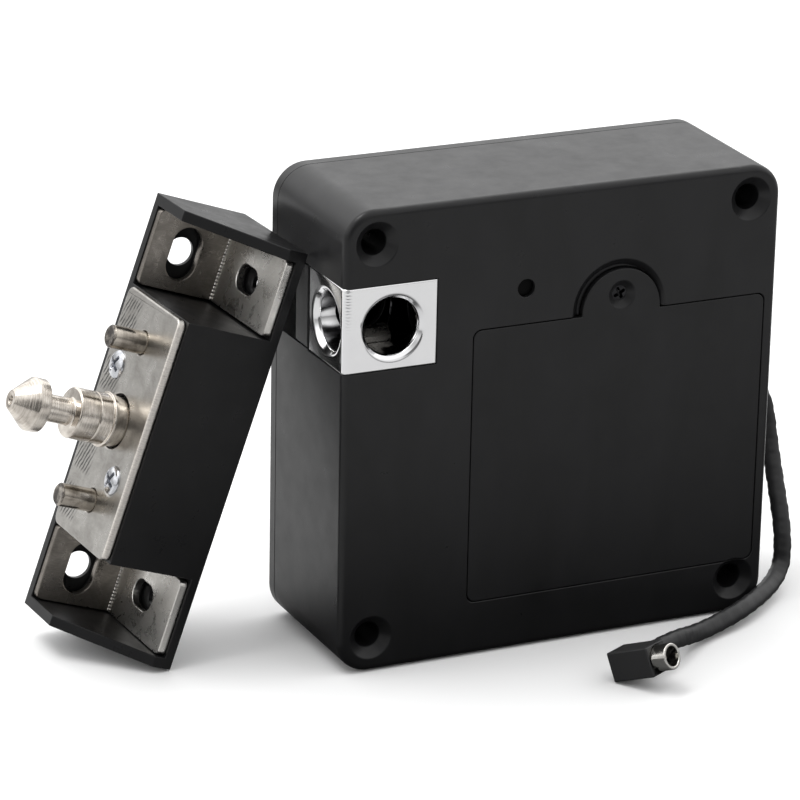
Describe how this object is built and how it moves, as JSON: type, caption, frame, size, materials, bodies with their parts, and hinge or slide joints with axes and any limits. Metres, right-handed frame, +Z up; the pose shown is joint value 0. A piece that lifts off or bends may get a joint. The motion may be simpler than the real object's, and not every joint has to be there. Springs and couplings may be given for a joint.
{
  "type": "electronic cabinet lock",
  "caption": "Battery-powered cabinet lock body with a socketed metal catch, a trailing power jack, and a leaning strike with a headed pin, sprung ejector pins and brackets.",
  "frame": {"origin": "on the floor under the middle of the lock body, which stands upright on its lower edge", "axes": "+X to the lock body's right as seen from its front, +Y towards its back (mounting) face, +Z up"},
  "size_m": [0.1466, 0.0682, 0.083],
  "materials": {
    "housing_plastic": "fine matt grain",
    "zinc_steel": "zinc-plated",
    "polished_metal": "polished",
    "latch_steel": "ground",
    "mechanism_plastic": "moulded",
    "spring_steel": "drawn wire",
    "gear_brass": "turned",
    "motor_steel": "plated can",
    "board_laminate": "coated board",
    "chip_plastic": "moulded",
    "button_plastic": "smooth",
    "antenna_copper": "coated winding",
    "soft_rubber": "matt",
    "sleeve_plastic": "shrunk sleeve, satin",
    "jack_plastic": "moulded",
    "jack_metal": "plated",
    "plate_metal": "satin nickel, scuffed",
    "pin_metal": "turned, nickel-plated",
    "cell_wrap": "printed sleeve left plain",
    "bracket_steel": "brushed"
  },
  "bodies": {
    "lock_and_strike": {"main_shell": "housing_plastic", "back_cover": "housing_plastic", "back_cover_screws": "zinc_steel", "battery_cover": "housing_plastic", "battery_cover_screw": "zinc_steel", "catch_block": "polished_metal", "catch_block_screws": "zinc_steel", "gearbox": "mechanism_plastic", "motor_can": "motor_steel", "motor_cap": "mechanism_plastic", "motor_clamp": "mechanism_plastic", "motor_clamp_screw": "zinc_steel", "circuit_board": "board_laminate", "board_screws": "zinc_steel", "controller_chip": "chip_plastic", "reader_chip": "chip_plastic", "capacitor": "motor_steel", "buzzer": "chip_plastic", "set_switch": "chip_plastic", "antenna_coil": "antenna_copper", "cell_springs": "spring_steel", "cell_plates": "spring_steel", "lead_grommet": "soft_rubber", "lead": "sleeve_plastic", "jack_body": "jack_plastic", "jack_barrel": "jack_metal", "jack_pin": "jack_metal", "strike_housing": "housing_plastic", "strike_plate": "plate_metal", "strike_pin": "pin_metal", "strike_pin_nut": "zinc_steel", "cell_1": "cell_wrap", "cell_2": "cell_wrap", "cell_3": "cell_wrap", "cell_4": "cell_wrap", "ejector_spring_upper": "spring_steel", "ejector_spring_lower": "spring_steel", "plate_screw_upper": "zinc_steel", "plate_screw_lower": "zinc_steel", "corner_bracket_lower": "bracket_steel", "corner_bracket_upper": "bracket_steel"},
    "drive_screw": {"drive_screw": "gear_brass"},
    "latch_carriage": {"latch_carriage": "mechanism_plastic", "latch_spring": "spring_steel"},
    "latch_bolt": {"latch_bolt": "latch_steel"},
    "set_button": {"set_button": "button_plastic"},
    "ejector_pin_upper": {"ejector_pin_upper": "pin_metal"},
    "ejector_pin_lower": {"ejector_pin_lower": "pin_metal"}
  },
  "joints": [
    {"name": "drive_screw_turn", "type": "hinge", "parent": "lock_and_strike", "child": "drive_screw", "pos_m": [-0.023, -0.00615, 0.0373], "axis": [0, 0, 1], "range_deg": [0, 720]},
    {"name": "latch_carriage_slide", "type": "slide", "parent": "lock_and_strike", "child": "latch_carriage", "axis": [0, 0, -1], "range_m": [0, 0.0032]},
    {"name": "latch_bolt_slide", "type": "slide", "parent": "latch_carriage", "child": "latch_bolt", "axis": [0, 0, -1], "range_m": [0, 0.0032], "stiffness_N_per_m": 60, "springref_m": -0.002, "deforming": ["latch_spring"]},
    {"name": "set_button_press", "type": "slide", "parent": "lock_and_strike", "child": "set_button", "axis": [0, 1, 0], "range_m": [0, 0.0005], "stiffness_N_per_m": 40, "springref_m": -0.0005},
    {"name": "ejector_pin_upper_slide", "type": "slide", "parent": "lock_and_strike", "child": "ejector_pin_upper", "axis": [0.941, 0.0429, -0.3356], "range_m": [0, 0.005], "stiffness_N_per_m": 80, "springref_m": -0.002, "deforming": ["ejector_spring_upper"]},
    {"name": "ejector_pin_lower_slide", "type": "slide", "parent": "lock_and_strike", "child": "ejector_pin_lower", "axis": [0.941, 0.0429, -0.3356], "range_m": [0, 0.005], "stiffness_N_per_m": 80, "springref_m": -0.002, "deforming": ["ejector_spring_lower"]}
  ],
  "couplings": [
    {"joint": "drive_screw_turn", "follows": "latch_carriage_slide", "rad_per_m": 3926.9}
  ]
}
